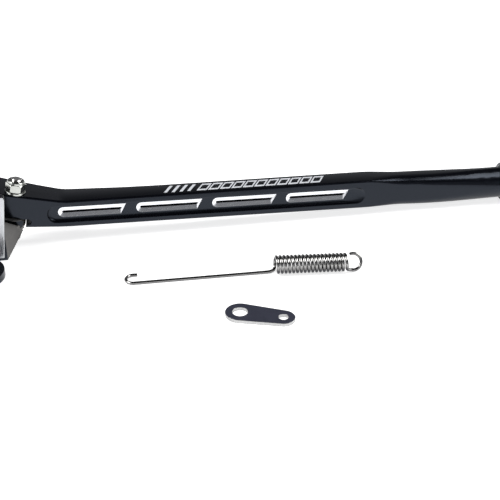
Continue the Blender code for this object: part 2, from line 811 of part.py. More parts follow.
# ---------------------------------------------------------------- assembly

def footprint(solids):
    """Lowest and highest x and y over all solids."""
    graph = bpy.context.evaluated_depsgraph_get()
    low = Vector((math.inf, math.inf))
    high = Vector((-math.inf, -math.inf))
    for solid in solids:
        shown = solid.evaluated_get(graph)
        mesh = shown.to_mesh()
        for vertex in mesh.vertices:
            place = shown.matrix_world @ vertex.co
            for axis in range(2):
                low[axis] = min(low[axis], place[axis])
                high[axis] = max(high[axis], place[axis])
        shown.to_mesh_clear()
    return low, high


def centre_on_footprint(bench):
    solids = [piece for piece in PARTS.objects if piece.type == "MESH"]
    low, high = footprint(solids)
    middle = (low + high) / 2
    bench.location = (-middle.x, -middle.y, 0.0)
    bpy.context.view_layer.update()


clear_scene()
PARTS = collection("kickstand")
HELPERS = collection("helpers")
HEAD = Matrix.Translation(PIVOT) @ Matrix.Rotation(PIVOT_LEAN, 4, "Y")

black = material("black_anodised", (0.012, 0.013, 0.017), 0.38, 0.6)
stainless = material("stainless", (0.72, 0.71, 0.69), 0.2, 1.0)
white_nylon = material("nylon", (0.7, 0.7, 0.66), 0.5, 0.0)
bearing_bronze = material("bronze", (0.45, 0.3, 0.14), 0.35, 1.0)
acetal = material("acetal", (0.03, 0.03, 0.03), 0.5, 0.0)
zinc_black = material("black_zinc", (0.03, 0.032, 0.05), 0.35, 0.7)

bench = empty("bench", Matrix(), None)
leg_hinge = empty("leg_hinge", HEAD, bench)
spring_lift = empty("spring_lift", spring_frame(), bench)
spring_slide = empty("spring_slide", spring_frame(), spring_lift)
link_lift = empty("link_lift", Matrix.Translation((LINK_BIG.x, LINK_BIG.y, 0.0)), bench)

make_bracket(black, bench)
make_pivot(stainless, white_nylon, bearing_bronze, acetal, bench)
make_leg(black, leg_hinge)
make_foot(black, stainless, leg_hinge)
make_spring_post(stainless, leg_hinge)
make_spring(stainless, spring_lift, spring_slide)
make_link(zinc_black, link_lift)
bpy.context.view_layer.update()
centre_on_footprint(bench)
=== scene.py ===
"""Looks for the motorcycle kickstand kit: fine surfaces, finishes, bench and light."""

import json
import math

import bmesh
import bpy
from mathutils import Matrix, Vector


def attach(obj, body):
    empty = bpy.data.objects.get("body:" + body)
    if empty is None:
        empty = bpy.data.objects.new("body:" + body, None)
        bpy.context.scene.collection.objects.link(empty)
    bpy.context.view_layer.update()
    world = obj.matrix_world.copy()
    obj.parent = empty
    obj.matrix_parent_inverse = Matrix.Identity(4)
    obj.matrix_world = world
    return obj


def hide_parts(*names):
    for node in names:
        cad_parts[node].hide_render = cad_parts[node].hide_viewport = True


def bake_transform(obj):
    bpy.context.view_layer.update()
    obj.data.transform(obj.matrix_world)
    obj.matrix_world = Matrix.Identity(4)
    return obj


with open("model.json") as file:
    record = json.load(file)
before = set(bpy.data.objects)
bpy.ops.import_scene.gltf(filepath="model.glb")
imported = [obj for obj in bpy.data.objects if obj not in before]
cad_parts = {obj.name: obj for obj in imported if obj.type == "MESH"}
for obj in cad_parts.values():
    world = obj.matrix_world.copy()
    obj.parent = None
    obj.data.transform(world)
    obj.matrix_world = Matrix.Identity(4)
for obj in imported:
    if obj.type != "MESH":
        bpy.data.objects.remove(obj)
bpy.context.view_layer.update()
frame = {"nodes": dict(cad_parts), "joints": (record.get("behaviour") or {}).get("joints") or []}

MM = 0.001
FIT = 0.3 * MM

PIVOT = Vector((-169.5 * MM, 42.0 * MM, 44.2 * MM))
LEAN = math.radians(13.0)
HEAD = Matrix.Translation(PIVOT) @ Matrix.Rotation(LEAN, 4, "Y")
HINGE = next(joint for joint in frame["joints"] if joint["name"] == "leg_pivot")
BENCH = Matrix.Translation(Vector(HINGE["pos_m"]) - PIVOT)

FRONT_Y = 35.3 * MM
LEG_WIDTH = 19.0 * MM
HEAD_END_X = -186.0 * MM
BEND_X = -136.0 * MM
LEG_END_X = 220.7 * MM
FOOT_RADIUS = 16.0 * MM
LEG_END_RADIUS = 12.6 * MM
SHANK_CORNER = 6.5 * MM
SHOULDER_X = 10.6 * MM
TONGUE_RADIUS = 10.3 * MM
TONGUE_BACK = 8.8 * MM
CORNER = 1.6 * MM
EAR = 18.4 * MM
TONGUE_TOP = -19.8 * MM
TONGUE_BOTTOM = -25.6 * MM
NUT_HEIGHT = 8.0 * MM

GROOVE_DEPTH = 3.6 * MM
GROOVE_HEIGHT = 14.0 * MM
GROOVE_FILLET = 2.4 * MM
GROOVE_LEFT_X = -148.0 * MM
GROOVE_RIGHT_X = 88.0 * MM
POCKET_HEIGHT = 8.3 * MM
POCKET_LENGTH = 51.0 * MM
POCKET_PITCH = 58.8 * MM
POCKET_RIGHT_X = -89.0 * MM
POCKET_SLANT = 4.3 * MM
POCKET_BEVEL = 3.0 * MM
POCKET_TOP_BEVEL_DEPTH = 0.7 * MM
POCKET_LOW_BEVEL_DEPTH = 1.5 * MM
POCKET_DEPTH = 3.4 * MM
BACK_GROOVE_LEFT_X = -92.0 * MM

WIRE = 2.4 * MM
COIL_DIAMETER = 14.0 * MM
COIL_START = Vector((10.1 * MM, -35.5 * MM))
COIL_END = Vector((64.4 * MM, -41.8 * MM))
ARM_END = Vector((-90.1 * MM, -32.2 * MM))
COIL_TURNS = 19 - 1 / 6
EYE_RADIUS = 6.0 * MM
EYE_TILT = math.radians(59.6)


# ---------------------------------------------------------------- finishes

def finish(
    name,
    low,
    high,
    roughness,
    metallic,
    grain,
    stretch=(1.0, 1.0, 1.0),
    bump=0.1,
    spread=0.08,
    sheen=None,
    under=None,
):
    """A finish whose colour drifts slowly and whose roughness and bump follow a fine grain.

    under is a darker colour painted on the faces that look down: a painted dark reflection.
    """
    made = bpy.data.materials.new(name)
    made.use_nodes = True
    nodes = made.node_tree.nodes
    link = made.node_tree.links.new
    shader = nodes["Principled BSDF"]
    place = nodes.new("ShaderNodeTexCoord")
    mapping = nodes.new("ShaderNodeMapping")
    mapping.inputs["Scale"].default_value = stretch
    link(place.outputs["Object"], mapping.inputs["Vector"])
    fine = nodes.new("ShaderNodeTexNoise")
    fine.inputs["Scale"].default_value = grain
    fine.inputs["Detail"].default_value = 5.0
    link(mapping.outputs["Vector"], fine.inputs["Vector"])
    slow = nodes.new("ShaderNodeTexNoise")
    slow.inputs["Scale"].default_value = 90.0
    slow.inputs["Detail"].default_value = 3.0
    link(place.outputs["Object"], slow.inputs["Vector"])
    mix = nodes.new("ShaderNodeMix")
    mix.data_type = "RGBA"
    mix.inputs["A"].default_value = (*low, 1.0)
    mix.inputs["B"].default_value = (*high, 1.0)
    link(slow.outputs["Fac"], mix.inputs["Factor"])
    link(mix.outputs["Result"], shader.inputs["Base Color"])
    shift = nodes.new("ShaderNodeMapRange")
    shift.inputs["From Min"].default_value = 0.3
    shift.inputs["From Max"].default_value = 0.7
    shift.inputs["To Min"].default_value = max(0.04, roughness - spread)
    shift.inputs["To Max"].default_value = roughness + spread
    link(fine.outputs["Fac"], shift.inputs["Value"])
    link(shift.outputs["Result"], shader.inputs["Roughness"])
    raised = nodes.new("ShaderNodeBump")
    raised.inputs["Strength"].default_value = bump
    raised.inputs["Distance"].default_value = 0.1 * MM
    link(fine.outputs["Fac"], raised.inputs["Height"])
    link(raised.outputs["Normal"], shader.inputs["Normal"])
    shader.inputs["Metallic"].default_value = metallic
    # Painted dark reflection: the under colour is mixed in as the object-space normal turns downward.
    if under is not None:
        facing = nodes.new("ShaderNodeSeparateXYZ")
        link(place.outputs["Normal"], facing.inputs["Vector"])
        share = nodes.new("ShaderNodeMapRange")
        share.inputs["From Min"].default_value = -0.25
        share.inputs["From Max"].default_value = 0.3
        link(facing.outputs["Z"], share.inputs["Value"])
        shade = nodes.new("ShaderNodeMix")
        shade.data_type = "RGBA"
        shade.inputs["A"].default_value = (*under, 1.0)
        link(share.outputs["Result"], shade.inputs["Factor"])
        link(mix.outputs["Result"], shade.inputs["B"])
        link(shade.outputs["Result"], shader.inputs["Base Color"])
    if sheen is not None:
        shader.inputs["Specular IOR Level"].default_value = sheen
        shader.inputs["Specular Tint"].default_value = (0.72, 0.82, 1.0, 1.0)
    return made


def maths(tree, operation, first, second):
    node = tree.nodes.new("ShaderNodeMath")
    node.operation = operation
    for socket, value in zip(node.inputs, (first, second)):
        if isinstance(value, (int, float)):
            socket.default_value = value
        else:
            tree.links.new(value, socket)
    return node.outputs["Value"]


def within(tree, value, low, high):
    """1 where a value lies between two others, else 0."""
    return maths(tree, "MULTIPLY", maths(tree, "GREATER_THAN", value, low), maths(tree, "LESS_THAN", value, high))


def etch(made, low_x, middle_x, high_x, low_y, high_y):
    """Pale etching on the upward face: four slanted bars, then a row of outlined slanted cells."""
    tree = made.node_tree
    place = tree.nodes.new("ShaderNodeTexCoord")
    split = tree.nodes.new("ShaderNodeSeparateXYZ")
    tree.links.new(place.outputs["Object"], split.inputs["Vector"])
    facing = tree.nodes.new("ShaderNodeSeparateXYZ")
    tree.links.new(place.outputs["Normal"], facing.inputs["Vector"])
    x, y = split.outputs["X"], split.outputs["Y"]
    leaning = maths(tree, "SUBTRACT", x, maths(tree, "MULTIPLY", y, 0.55))
    shared_y = 0.55 * 0.5 * (low_y + high_y)

    from_left = maths(tree, "SUBTRACT", leaning, low_x - shared_y)
    bar = maths(tree, "FRACT", maths(tree, "DIVIDE", from_left, 6.0 * MM), 0.0)
    bars = maths(tree, "MULTIPLY", within(tree, bar, 0.2, 0.62), within(tree, leaning, low_x - shared_y, middle_x - shared_y))

    start = middle_x + 4.0 * MM - shared_y
    along = maths(tree, "DIVIDE", maths(tree, "SUBTRACT", leaning, start), 9.0 * MM)
    cell = maths(tree, "FRACT", along, 0.0)
    outer = within(tree, cell, 0.06, 0.94)
    inner = maths(tree, "MULTIPLY", within(tree, cell, 0.2, 0.8), within(tree, y, low_y + 2.2 * MM, high_y - 2.2 * MM))
    cells = maths(tree, "MULTIPLY", maths(tree, "SUBTRACT", outer, inner), within(tree, leaning, start, high_x - shared_y))

    mask = maths(tree, "ADD", bars, cells)
    mask = maths(tree, "MULTIPLY", mask, within(tree, y, low_y, high_y))
    mask = maths(tree, "MULTIPLY", mask, maths(tree, "GREATER_THAN", facing.outputs["Z"], 0.7))
    shader = tree.nodes["Principled BSDF"]
    for socket, pale in (("Base Color", (0.72, 0.74, 0.78, 1.0)), ("Roughness", (0.55, 0.55, 0.55, 1.0))):
        source = shader.inputs[socket].links[0].from_socket
        mix = tree.nodes.new("ShaderNodeMix")
        mix.data_type = "RGBA"
        tree.links.new(mask, mix.inputs["Factor"])
        tree.links.new(source, mix.inputs["A"])
        mix.inputs["B"].default_value = pale
        tree.links.new(mix.outputs["Result"], shader.inputs[socket])


DARK = (0.0014, 0.0016, 0.0028)
DARK_HIGH = (0.0024, 0.0027, 0.0045)
black = finish("black_anodised", DARK, DARK_HIGH, 0.26, 0.0, 2600.0, bump=0.05, spread=0.05, sheen=0.4)
black_leg = finish("black_anodised_leg", DARK, DARK_HIGH, 0.2, 0.0, 2600.0, bump=0.03, spread=0.05, sheen=0.35)
bright = finish("cut_aluminium", (0.72, 0.73, 0.76), (0.82, 0.83, 0.86), 0.2, 1.0, 700.0, (0.15, 2.0, 2.0), 0.2)
facet = finish("machined_aluminium", (0.42, 0.43, 0.45), (0.55, 0.56, 0.58), 0.3, 1.0, 600.0, (2.0, 2.0, 0.15), 0.3)
satin = finish("grey_cast_aluminium", (0.1, 0.097, 0.095), (0.15, 0.146, 0.142), 0.42, 1.0, 900.0, bump=0.25)
steel = finish("stainless", (0.4, 0.41, 0.39), (0.55, 0.56, 0.53), 0.2, 1.0, 1500.0, bump=0.08, spread=0.06)
turned_steel = finish("turned_stainless", (0.5, 0.49, 0.48), (0.66, 0.65, 0.63), 0.24, 1.0, 1200.0, (2.0, 2.0, 0.3), 0.15)
spring_wire = finish(
    "spring_wire",
    (0.3, 0.296, 0.29),
    (0.46, 0.455, 0.445),
    0.15,
    1.0,
    900.0,
    bump=0.12,
    spread=0.06,
    # Painted dark reflection on the underside of the wire.
    under=(0.045, 0.045, 0.05),
)
nylon = finish("nylon", (0.05, 0.05, 0.055), (0.09, 0.09, 0.1), 0.5, 0.0, 800.0, bump=0.15)
bronze = finish("bearing_bronze", (0.42, 0.27, 0.12), (0.52, 0.34, 0.16), 0.34, 1.0, 900.0, (2.0, 2.0, 0.4), 0.2)
acetal = finish("acetal", (0.01, 0.01, 0.011), (0.02, 0.02, 0.021), 0.5, 0.0, 900.0, bump=0.1)
zinc = finish("black_zinc", (0.028, 0.03, 0.046), (0.055, 0.058, 0.085), 0.36, 0.1, 1300.0, bump=0.25, spread=0.1)
sheared = finish("sheared_edge", (0.38, 0.38, 0.38), (0.52, 0.52, 0.52), 0.32, 1.0, 1500.0, (1.6, 1.6, 0.2), 0.5, 0.12)

shift_x = BENCH.translation.x
shift_y = BENCH.translation.y
etch(
    black_leg,
    shift_x - 58.0 * MM,
    shift_x - 36.0 * MM,
    shift_x + 67.0 * MM,
    shift_y + FRONT_Y + 3.8 * MM,
    shift_y + FRONT_Y + 14.5 * MM,
)


# ---------------------------------------------------------------- shapes

def linked(name, data):
    made = bpy.data.objects.new(name, data)
    bpy.context.scene.collection.objects.link(made)
    return made


def weld(mesh):
    shape = bmesh.new()
    shape.from_mesh(mesh)
    bmesh.ops.remove_doubles(shape, verts=shape.verts, dist=0.001 * MM)
    bmesh.ops.recalc_face_normals(shape, faces=shape.faces)
    shape.to_mesh(mesh)
    shape.free()
    return mesh


def evaluated(drawn):
    """The mesh of an object with its modifiers, and the object removed."""
    graph = bpy.context.evaluated_depsgraph_get()
    mesh = bpy.data.meshes.new_from_object(drawn.evaluated_get(graph))
    bpy.data.objects.remove(drawn)
    return mesh


def loft(name, rings, finishes=(black,), bands=None):
    """A closed skin over rings of equally many points. bands gives the finish of each band between rings."""
    shape = bmesh.new()
    rows = [[shape.verts.new(point) for point in ring] for ring in rings]
    for k, (low, high) in enumerate(zip(rows, rows[1:])):
        for i in range(len(low)):
            j = (i + 1) % len(low)
            face = shape.faces.new((low[i], low[j], high[j], high[i]))
            if bands:
                face.material_index = bands[k]
    shape.faces.new(reversed(rows[0]))
    shape.faces.new(rows[-1])
    bmesh.ops.recalc_face_normals(shape, faces=shape.faces)
    mesh = bpy.data.meshes.new(name)
    shape.to_mesh(mesh)
    shape.free()
    for each in finishes:
        mesh.materials.append(each)
    return mesh


def extruded(name, outline, low, high):
    curve = bpy.data.curves.new(name, "CURVE")
    curve.dimensions = "2D"
    curve.fill_mode = "BOTH"
    curve.extrude = (high - low) / 2
    spline = curve.splines.new("POLY")
    spline.points.add(len(outline) - 1)
    for point, place in zip(spline.points, outline):
        point.co = (place[0], place[1], 0.0, 1.0)
    spline.use_cyclic_u = True
    mesh = weld(evaluated(linked(name, curve)))
    mesh.transform(Matrix.Translation((0.0, 0.0, (low + high) / 2)))
    return mesh


def turned(name, profile, steps=96):
    """A solid of revolution about Z. The profile is (radius, height), outer side first, top to bottom."""
    mesh = bpy.data.meshes.new(name)
    points = [(radius, 0.0, height) for radius, height in profile]
    edges = [(i, i + 1) for i in range(len(points) - 1)]
    if profile[0][0] > 0.0:
        edges.append((len(points) - 1, 0))
    mesh.from_pydata(points, edges, [])
    drawn = linked(name, mesh)
    screw = drawn.modifiers.new("Screw", "SCREW")
    screw.axis = "Z"
    screw.steps = steps
    screw.render_steps = steps
    screw.use_merge_vertices = True
    screw.merge_threshold = 0.002 * MM
    return weld(evaluated(drawn))


def cylinder(name, radius, low, high, steps=96):
    return turned(name, [(0.0, high), (radius, high), (radius, low), (0.0, low)], steps)


def arc(centre, radius, start, end, steps):
    found = []
    for i in range(steps + 1):
        angle = start + (end - start) * i / steps
        found.append((centre[0] + radius * math.cos(angle), centre[1] + radius * math.sin(angle)))
    return found


def belt(first, first_radius, second, second_radius, steps):
    between = Vector(second) - Vector(first)
    heading = math.atan2(between.y, between.x)
    tangent = math.acos((first_radius - second_radius) / between.length)
    outline = arc(first, first_radius, heading + tangent, heading + 2 * math.pi - tangent, steps)
    return outline + arc(second, second_radius, heading - tangent, heading + tangent, steps)


def carve(name, mesh, steps):
    """A mesh after a list of Booleans, each (mesh, operation, matrix)."""
    if not mesh.materials:
        mesh.materials.append(black)
    target = linked(name, mesh)
    helpers = []
    for tool, operation, matrix in steps:
        if not tool.materials:
            tool.materials.append(black)
        helper = linked(f"{name}_tool", tool)
        helper.matrix_world = matrix
        boolean = target.modifiers.new("cut", "BOOLEAN")
        boolean.operation = operation
        boolean.solver = "EXACT"
        boolean.material_mode = "TRANSFER"
        boolean.object = helper
        helpers.append(helper)
    bpy.context.view_layer.update()
    made = evaluated(target)
    for helper in helpers:
        bpy.data.objects.remove(helper)
    return made


def softened(name, mesh, width, segments=2, angle=32.0):
    """Flat regions cleaned to single faces, then every sharp edge rounded."""
    shape = bmesh.new()
    shape.from_mesh(mesh)
    bmesh.ops.remove_doubles(shape, verts=shape.verts, dist=0.02 * MM)
    bmesh.ops.dissolve_limit(
        shape,
        angle_limit=math.radians(0.4),
        verts=shape.verts,
        edges=shape.edges,
        delimit={"MATERIAL"},
    )
    shape.to_mesh(mesh)
    shape.free()
    drawn = linked(name, mesh)
    bevel = drawn.modifiers.new("Bevel", "BEVEL")
    bevel.width = width
    bevel.segments = segments
    bevel.limit_method = "ANGLE"
    bevel.angle_limit = math.radians(angle)
    bevel.use_clamp_overlap = False
    bevel.miter_outer = "MITER_ARC"
    return evaluated(drawn)


def piece(name, mesh, body, nodes, finishes=None, matrix=Matrix(), sharp=38.0):
    """A shown piece, given in the bench frame, that rides on a body and stands for CAD nodes."""
    if finishes is not None:
        mesh.materials.clear()
        for each in finishes:
            mesh.materials.append(each)
    mesh.transform(BENCH @ matrix)
    mesh.shade_smooth()
    mesh.set_sharp_from_angle(angle=math.radians(sharp))
    made = linked(name, mesh)
    if body is not None:
        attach(made, body)
    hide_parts(*nodes)
    weighted = made.modifiers.new("Normals", "WEIGHTED_NORMAL")
    weighted.keep_sharp = True
    return made


# ---------------------------------------------------------------- leg

def between(low, high, share):
    return low + (high - low) * share


def leg_top(x):
    bend_height = PIVOT.z - (BEND_X - PIVOT.x) * math.tan(LEAN)
    if x < BEND_X:
        return bend_height + (BEND_X - x) * math.tan(LEAN)
    return bend_height - (x - BEND_X) * math.tan(math.radians(1.1))


def leg_bottom(x):
    bend_height = 14.5 * MM
    if x < BEND_X:
        return bend_height + (BEND_X - x) * math.tan(math.radians(5.0))
    return bend_height - (x - BEND_X) * math.tan(math.radians(1.65))


def section(x, front, back, bottom, top, radius, crown=0.0, steps=8):
    """A rounded rectangle in the plane at x. crown drops the edges of its top face."""
    corners = (
        (back - radius, top - radius, 0.0, -crown),
        (front + radius, top - radius, 0.5 * math.pi, -crown),
        (front + radius, bottom + radius, math.pi, 0.0),
        (back - radius, bottom + radius, 1.5 * math.pi, 0.0),
    )
    points = []
    for k, (y, z, start, drop) in enumerate(corners):
        for place in arc((y, z), radius, start, start + 0.5 * math.pi, steps):
            points.append((x, place[0], place[1] + drop))
        if k == 0:
            for i in range(1, 8):
                share = i / 8
                fall = crown * (2.0 * share - 1.0) ** 2
                points.append((x, between(back - radius, front + radius, share), top - fall))
    return points


def end_corner(share):
    """Corner radius from the beam's end to the leg's end: it rounds quickly, then fills out."""
    first = min(1.0, share / 0.3)
    last = max(0.0, (share - 0.3) / 0.7)
    shank = between(CORNER, SHANK_CORNER, first * first * (3.0 - 2.0 * first))
    return between(shank, LEG_END_RADIUS - 0.1 * MM, last * last * (3.0 - 2.0 * last))


def leg_body():
    head = (
        (HEAD_END_X, 25.5),
        (HEAD_END_X + 1.2 * MM, 28.5),
        (HEAD_END_X + 4.0 * MM, 30.8),
        (PIVOT.x, 28.0),
        (-155.0 * MM, 25.4),
        (BEND_X - 3.0 * MM, 23.2),
        (BEND_X + 3.0 * MM, 22.8),
        (-112.0 * MM, 21.2),
        (-90.0 * MM, 19.8),
        (-62.0 * MM, 19.0),
    )
    rings = []
    for x, width in head:
        inset = 3.0 * MM if x == HEAD_END_X else 0.0
        front = FRONT_Y + 0.4 * inset
        crown = 0.25 * MM if x > BEND_X else 0.06 * MM
        rings.append(section(x, front, FRONT_Y + width * MM, leg_bottom(x), leg_top(x), CORNER, crown))
    beam_end = 100.0 * MM
    rings.append(
        section(beam_end, FRONT_Y, FRONT_Y + LEG_WIDTH, leg_bottom(beam_end), leg_top(beam_end), CORNER, 0.25 * MM)
    )
    middle_y = FRONT_Y + LEG_WIDTH / 2
    stations = 24
    for i in range(1, stations + 1):
        share = i / stations
        ease = share * share * (3.0 - 2.0 * share)
        x = between(beam_end, LEG_END_X - 3.0 * MM, share)
        low = between(leg_bottom(x), FOOT_RADIUS - LEG_END_RADIUS, ease)
        high = between(leg_top(x), FOOT_RADIUS + LEG_END_RADIUS, ease)
        half = between(LEG_WIDTH / 2, LEG_END_RADIUS, ease)
        radius = end_corner(share)
        rings.append(
            section(x, middle_y - half, middle_y + half, low, high, radius, 0.25 * MM * (1.0 - ease))
        )
    for i in range(1, 6):
        share = i / 5
        flare = LEG_END_RADIUS + 1.4 * MM * (1.0 - math.sqrt(1.0 - share * share))
        rings.append(
            section(
                LEG_END_X - 3.0 * MM + 3.0 * MM * share,
                middle_y - flare,
                middle_y + flare,
                FOOT_RADIUS - flare,
                FOOT_RADIUS + flare,
                flare - 0.1 * MM,
            )
        )
    return loft("leg", rings)


def groove_height(x):
    return 26.0 * MM - (x - GROOVE_LEFT_X) * math.tan(math.radians(1.56))


def groove_cutter(face_y, inwards, left_x):
    """The long groove in a side face. inwards is +1 on the front and -1 on the back."""
    rings = []
    straight = GROOVE_DEPTH - GROOVE_FILLET
    depths = [-2.0 * MM, 0.0, 0.33 * straight, 0.67 * straight, straight]
    turns = 6
    for k in range(1, turns + 1):
        depths.append(GROOVE_DEPTH - GROOVE_FILLET * (1.0 - math.sin(0.5 * math.pi * k / turns)))
    for depth in depths:
        into_fillet = max(0.0, depth - (GROOVE_DEPTH - GROOVE_FILLET))
        inset = GROOVE_FILLET - math.sqrt(max(0.0, GROOVE_FILLET**2 - into_fillet**2))
        half = GROOVE_HEIGHT / 2 - inset
        fall = max(0.0, depth) / GROOVE_DEPTH
        right_x = GROOVE_RIGHT_X + 12.5 * MM * math.sqrt(max(0.0, 1.0 - fall)) - 0.2 * inset
        outline = arc((right_x - GROOVE_HEIGHT / 2, 0.0), half, 0.5 * math.pi, -0.5 * math.pi, 20)
        left = arc((left_x + GROOVE_HEIGHT / 2, 0.0), half, 1.5 * math.pi, 0.5 * math.pi, 20)
        rings.append([(x, face_y + inwards * depth, groove_height(x) + z) for x, z in outline + left])
    return loft("groove", rings)


def pocket_cutter(face_y, inwards, right_x):
    """A pocket whose mouth is bevelled all round; the bevel is bare metal."""
    floor_y = face_y + inwards * GROOVE_DEPTH
    half = POCKET_HEIGHT / 2
    left_centre = right_x - POCKET_LENGTH + half
    steps = (
        (-1.0 * MM, -1.0 * MM, 0.0),
        (0.0, 0.0, 0.0),
        (POCKET_LOW_BEVEL_DEPTH, POCKET_TOP_BEVEL_DEPTH, POCKET_BEVEL),
        (POCKET_DEPTH, POCKET_DEPTH, POCKET_BEVEL),
    )
    rings = []
    for low_depth, top_depth, inset in steps:
        reach = half - inset
        points = []
        for z in (reach, -reach):
            slant = POCKET_SLANT * (half - z) / POCKET_HEIGHT
            points.append((right_x - slant - inset * 0.5, z))
        points += arc((left_centre, 0.0), reach, 1.5 * math.pi, 0.5 * math.pi, 18)
        ring = []
        for x, z in points:
            depth = between(low_depth, top_depth, 0.5 + 0.5 * z / reach)
            ring.append((x, floor_y + inwards * depth, groove_height(x) + z))
        rings.append(ring)
    return loft("pocket", rings, (black, bright), (0, 1, 0))


def stop_groove():
    radius = 14.0 * MM
    half = 2.9 * MM
    swing = math.radians(88.0)
    outline = arc((0.0, 0.0), radius + half, swing, math.pi, 28)
    outline += arc((-radius, 0.0), half, math.pi, 2 * math.pi, 12)[1:-1]
    outline += arc((0.0, 0.0), radius - half, math.pi, swing, 28)
    far = (radius * math.cos(swing), radius * math.sin(swing))
    outline += arc(far, half, swing + math.pi, swing + 2 * math.pi, 12)[1:-1]
    return extruded("stop_groove", outline, -EAR - 1.0 * MM, -EAR + 4.2 * MM)


def foot_frame(x):
    place = Matrix.Translation((x, FRONT_Y + LEG_WIDTH / 2, FOOT_RADIUS))
    return place @ Matrix.Rotation(math.radians(90), 4, "Y")


def post_frame():
    place = Matrix.Translation((-104.0 * MM, FRONT_Y + 20.6 * MM, 23.0 * MM))
    return place @ Matrix.Rotation(math.radians(-90), 4, "X")


def make_leg():
    back_y = FRONT_Y + LEG_WIDTH
    under_ear = [
        (-30.0 * MM, -20.0 * MM),
        (SHOULDER_X, -20.0 * MM),
        (SHOULDER_X, 40.0 * MM),
        (-30.0 * MM, 40.0 * MM),
    ]
    across = Matrix.Translation((SHOULDER_X + 1.2 * MM, 0.0, -EAR - 2.0 * MM))
    across = HEAD @ across @ Matrix.Rotation(math.radians(90), 4, "X")
    steps = [
        (cylinder("relief", 2.4 * MM, -30.0 * MM, 12.0 * MM, 48), "DIFFERENCE", across),
        (extruded("under_ear", under_ear, -45.0 * MM, -EAR), "DIFFERENCE", HEAD),
        (cylinder("bore", 5.8 * MM + FIT, -EAR - 1.0 * MM, 5.0 * MM), "DIFFERENCE", HEAD),
        (stop_groove(), "DIFFERENCE", HEAD),
        (groove_cutter(FRONT_Y, 1.0, GROOVE_LEFT_X), "DIFFERENCE", Matrix()),
        (groove_cutter(back_y, -1.0, BACK_GROOVE_LEFT_X), "DIFFERENCE", Matrix()),
        (cylinder("screw_hole", 4.0 * MM + FIT, -19.0 * MM, 5.0 * MM, 48), "DIFFERENCE", foot_frame(LEG_END_X)),
        (cylinder("post_hole", 3.0 * MM + FIT, -9.0 * MM, 5.0 * MM, 40), "DIFFERENCE", post_frame()),
    ]
    pockets = []
    for i in range(4):
        right_x = POCKET_RIGHT_X + i * POCKET_PITCH
        pockets.append((pocket_cutter(FRONT_Y, 1.0, right_x), "DIFFERENCE", Matrix()))
        if right_x - POCKET_LENGTH > BACK_GROOVE_LEFT_X:
            pockets.append((pocket_cutter(back_y, -1.0, right_x), "DIFFERENCE", Matrix()))
    body = leg_body()
    body.materials.clear()
    body.materials.append(black_leg)
    mesh = carve("leg_fine", body, steps)
    mesh = softened("leg_fine", mesh, 0.22 * MM)
    mesh = carve("leg_fine", mesh, pockets)
    piece("leg_fine", mesh, "leg", ["leg"], sharp=21.0)


# ---------------------------------------------------------------- pieces on the leg

def hexagon(across_flats):
    return arc((0.0, 0.0), across_flats / math.sqrt(3.0), 0.0, 5 * math.pi / 3, 5)


def make_foot():
    length = 24.0 * MM
    bore = 4.0 * MM + FIT
    head = 6.5 * MM
    edge = 5.0 * MM
    profile = [(head + FIT, length - 0.5 * MM), (head + FIT + 0.5 * MM, length)]
    profile += arc((FOOT_RADIUS - edge, length - edge), edge, 0.5 * math.pi, 0.0, 16)
    profile += [
        (FOOT_RADIUS, 9.6 * MM),
        (FOOT_RADIUS - 0.7 * MM, 9.0 * MM),
        (FOOT_RADIUS - 0.7 * MM, 7.6 * MM),
        (FOOT_RADIUS, 7.0 * MM),
        (FOOT_RADIUS, 1.0 * MM),
        (FOOT_RADIUS - 0.3 * MM, 0.3 * MM),
        (FOOT_RADIUS - 1.0 * MM, 0.0),
        (bore, 0.0),
        (bore, length - 9.0 * MM),
        (head + FIT, length - 9.0 * MM),
    ]
    piece("foot_fine", turned("foot", profile, 128), "leg", ["foot"], [black], foot_frame(LEG_END_X + FIT))

    low = length - 9.0 * MM + FIT
    profile = [(0.0, low + 7.6 * MM), (head - 0.6 * MM, low + 7.6 * MM)]
    profile += arc((head - 0.6 * MM, low + 7.0 * MM), 0.6 * MM, 0.5 * math.pi, 0.0, 5)[1:]
    profile += [(head, low + 0.2 * MM), (head - 0.2 * MM, low), (4.0 * MM, low)]
    height = low - 2.0 * MM
    while height > -14.0 * MM:
        profile += [(4.0 * MM, height), (3.45 * MM, height - 0.6 * MM), (4.0 * MM, height - 1.2 * MM)]
        height -= 1.25 * MM
    profile += [(4.0 * MM, -15.0 * MM), (3.0 * MM, -16.0 * MM), (0.0, -16.0 * MM)]
    socket = extruded("socket", hexagon(6.0 * MM), low + 4.0 * MM, low + 9.0 * MM)
    mesh = carve("foot_screw_fine", turned("foot_screw", profile, 64), [(socket, "DIFFERENCE", Matrix())])
    place = foot_frame(LEG_END_X + FIT)
    piece("foot_screw_fine", mesh, "leg", ["foot_screw"], [turned_steel], place)


def make_spring_post():
    profile = [(0.0, 12.5 * MM), (4.4 * MM, 12.5 * MM)]
    profile += arc((4.4 * MM, 11.7 * MM), 0.8 * MM, 0.5 * math.pi, 0.0, 5)[1:]
    profile += [(5.2 * MM, 10.5 * MM), (5.0 * MM, 10.2 * MM)]
    profile += arc((5.0 * MM, 7.0 * MM), 1.6 * MM, 0.5 * math.pi, 1.5 * math.pi, 14)
    profile += [
        (5.0 * MM, 3.6 * MM),
        (5.0 * MM, 0.8 * MM),
        (4.8 * MM, 0.6 * MM),
        (3.0 * MM, 0.6 * MM),
        (3.0 * MM, -8.0 * MM),
        (0.0, -8.0 * MM),
    ]
    piece("spring_post_fine", turned("post", profile, 96), "leg", ["spring_post"], [turned_steel], post_frame())


# ---------------------------------------------------------------- pivot

